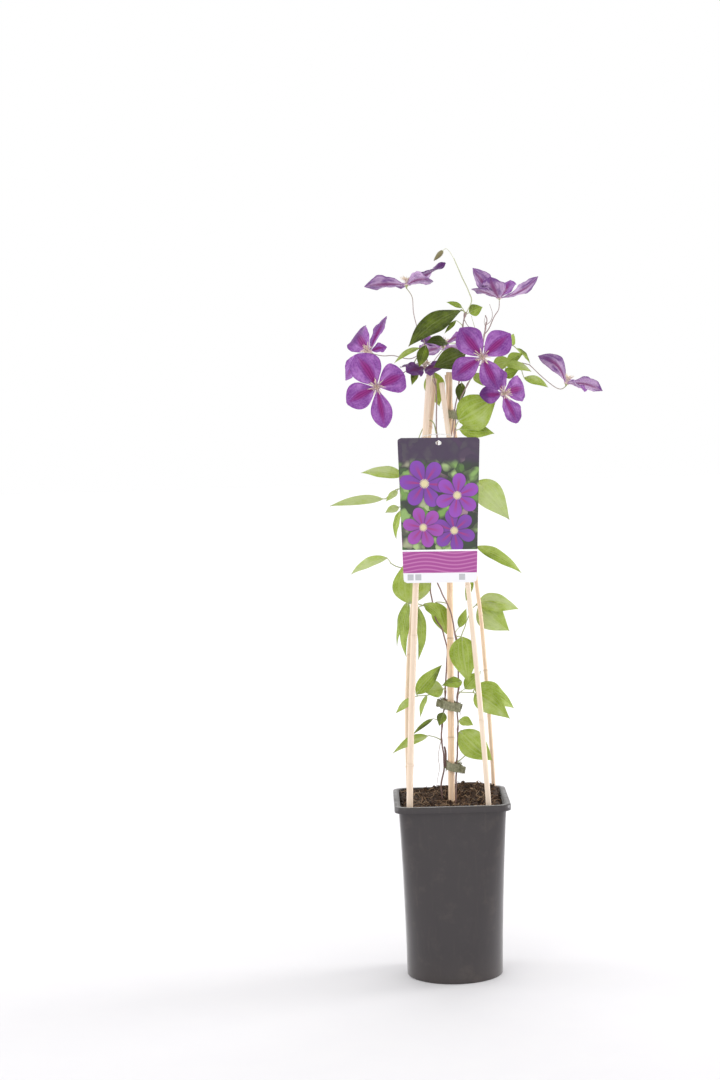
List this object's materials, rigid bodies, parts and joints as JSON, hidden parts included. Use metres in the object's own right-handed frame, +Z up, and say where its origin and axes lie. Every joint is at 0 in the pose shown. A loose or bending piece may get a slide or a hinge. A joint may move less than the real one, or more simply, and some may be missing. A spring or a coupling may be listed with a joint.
{
  "type": "potted clematis",
  "caption": "Climbing clematis with violet blooms, trained on a wigwam of bamboo canes in a tall dark nursery pot, with a plain picture label.",
  "frame": {"origin": "centre of the pot's foot, on the surface that it stands on", "axes": "+Z up along the canes, -Y towards the front of the plant, where the label is, +X to the right seen from the front"},
  "size_m": [0.3246, 0.1461, 0.86],
  "materials": {
    "pot_plastic": "matte black, slightly rough",
    "peat": "dark loose peat with fibres",
    "bamboo_tan": "satin bamboo, tan",
    "bamboo_pale": "satin bamboo, pale",
    "label_card": "printed plastic card",
    "loop_plastic": "clear white plastic",
    "tie_plastic": "grey-green plastic tape",
    "leaf_green": "soft green leaves on thin stems",
    "sepal_violet": "velvety violet with magenta bars",
    "stamen_cream": "cream filaments and anthers",
    "bud_olive": "downy olive bud"
  },
  "bodies": {
    "root": {"pot": "pot_plastic", "soil": "peat", "cane_centre": "bamboo_tan", "cane_front_left": "bamboo_pale", "cane_front_right": "bamboo_pale", "cane_back_left": "bamboo_tan", "cane_back_right": "bamboo_tan", "label": "label_card", "label_loop": "loop_plastic", "stem_tie_low": "tie_plastic", "stem_tie_middle": "tie_plastic", "stem_tie_top": "tie_plastic", "vine_right": "leaf_green", "vine_left": "leaf_green", "vine_back": "leaf_green", "bloom_top_left_sepals": "sepal_violet", "bloom_top_left_stamens": "stamen_cream", "bloom_top_right_sepals": "sepal_violet", "bloom_top_right_stamens": "stamen_cream", "bloom_left_upper_sepals": "sepal_violet", "bloom_left_upper_stamens": "stamen_cream", "bloom_left_lower_sepals": "sepal_violet", "bloom_left_lower_stamens": "stamen_cream", "bloom_front_sepals": "sepal_violet", "bloom_front_stamens": "stamen_cream", "bloom_front_low_sepals": "sepal_violet", "bloom_front_low_stamens": "stamen_cream", "bloom_right_sepals": "sepal_violet", "bloom_right_stamens": "stamen_cream", "bloom_behind_sepals": "sepal_violet", "bloom_behind_stamens": "stamen_cream", "bloom_faded_sepals": "sepal_violet", "bloom_faded_stamens": "stamen_cream", "bud": "bud_olive"}
  },
  "joints": []
}
